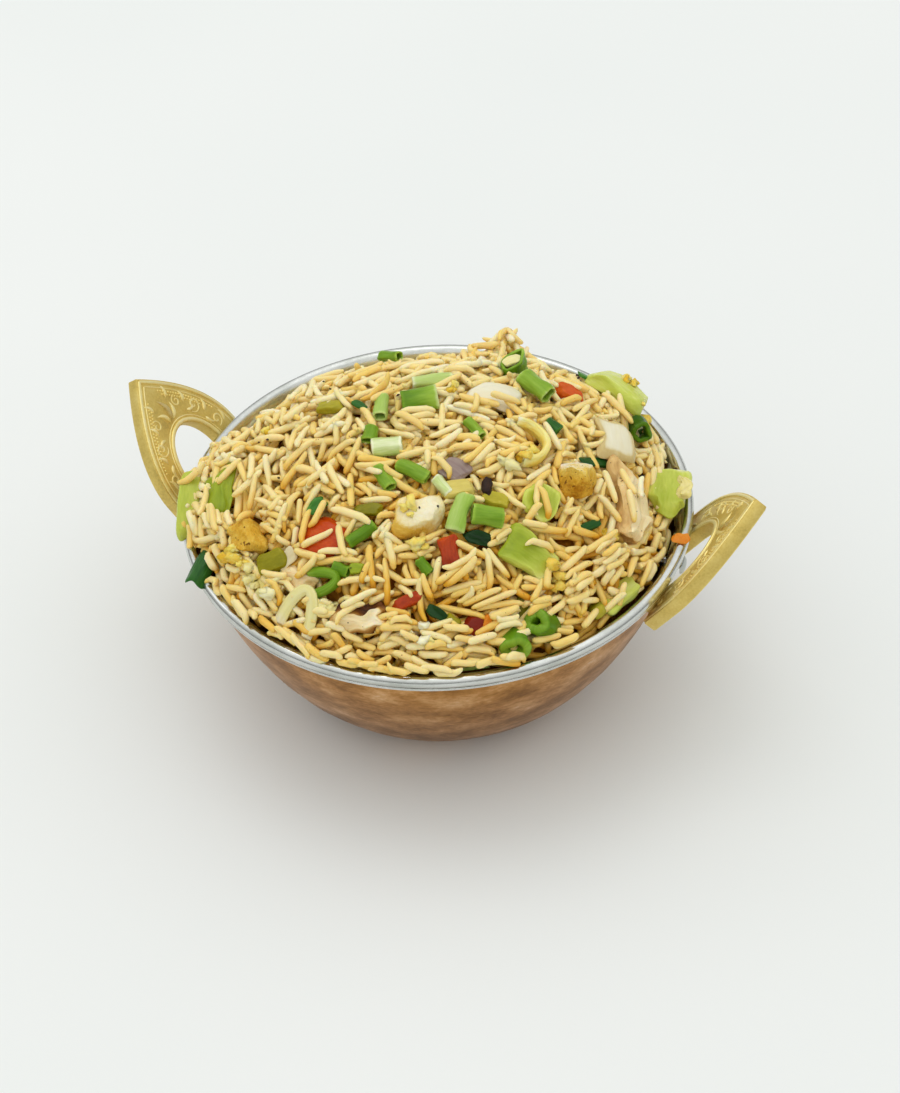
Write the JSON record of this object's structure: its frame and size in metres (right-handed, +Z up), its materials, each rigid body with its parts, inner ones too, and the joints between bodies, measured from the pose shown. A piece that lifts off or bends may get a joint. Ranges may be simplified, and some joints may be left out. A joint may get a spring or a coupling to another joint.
{
  "type": "bowl of fried rice",
  "caption": "Fried rice heaped in a small hammered copper karahi bowl with a steel liner, rolled rim and arched brass handles, topped with spring onion, celery, pepper, paneer and egg.",
  "frame": {"origin": "middle of the bowl's flat base, on the table", "axes": "+X towards one handle, +Z up"},
  "size_m": [0.2128, 0.165, 0.1076],
  "materials": {
    "copper": "hammered, warm and mottled",
    "steel": "polished",
    "brass": "cast, satin with embossed scrolls",
    "rice": "moist, soft sheen",
    "onion_green": "glossy, wet",
    "onion_pale": "glossy, wet",
    "dark_green": "glossy leaf",
    "celery": "glossy, wet",
    "olive": "glossy, oily",
    "red": "glossy, oily",
    "brown": "satin, seared",
    "white_onion": "glossy, translucent",
    "purple_onion": "glossy, translucent",
    "paneer": "matte, soft",
    "golden": "matte, seared",
    "egg": "satin, soft",
    "cabbage": "satin, soft",
    "carrot": "glossy"
  },
  "bodies": {
    "root": {"copper_jacket": "copper", "steel_liner": "steel", "handle_right": "brass", "handle_left": "brass", "rivet_right": "steel", "rivet_left": "steel", "rice_heap": "rice", "onion_crown_light": "onion_pale", "onion_crown_flat": "onion_green", "onion_crown_silver": "onion_green", "onion_back_small": "onion_green", "onion_slice_crown": "onion_green", "onion_striped": "onion_pale", "onion_split": "onion_green", "onion_mid": "onion_green", "onion_pale": "onion_pale", "onion_ring_back": "onion_green", "onion_tube_back": "onion_green", "onion_crumple": "onion_pale", "onion_right": "onion_green", "onion_leaf_dark": "dark_green", "onion_shaded": "onion_green", "onion_curl": "onion_green", "onion_ring_right": "dark_green", "onion_under_petal": "dark_green", "onion_dark_right": "dark_green", "onion_front_upright": "onion_green", "onion_front_leaning": "onion_green", "onion_front_strip": "onion_pale", "onion_rim_leaf": "dark_green", "celery_back": "celery", "celery_left": "celery", "celery_left_inner": "celery", "celery_slice": "celery", "celery_large": "celery", "celery_rim": "celery", "celery_front_right": "celery", "celery_thin_mid": "olive", "pepper_green_left": "olive", "pepper_green_rim": "olive", "pepper_green_mid": "olive", "pepper_green_back": "olive", "tomato_left": "red", "tomato_mid": "red", "tomato_front": "red", "tomato_back": "red", "tomato_dark_front": "brown", "petal_back": "white_onion", "petal_right": "white_onion", "petal_purple": "purple_onion", "paneer_mid": "paneer", "paneer_right": "golden", "paneer_left": "golden", "chicken_front": "brown", "chicken_flaky": "paneer", "egg_curl": "egg", "cabbage_loop": "cabbage", "cabbage_strip": "cabbage", "carrot_bit": "carrot"}
  },
  "joints": []
}
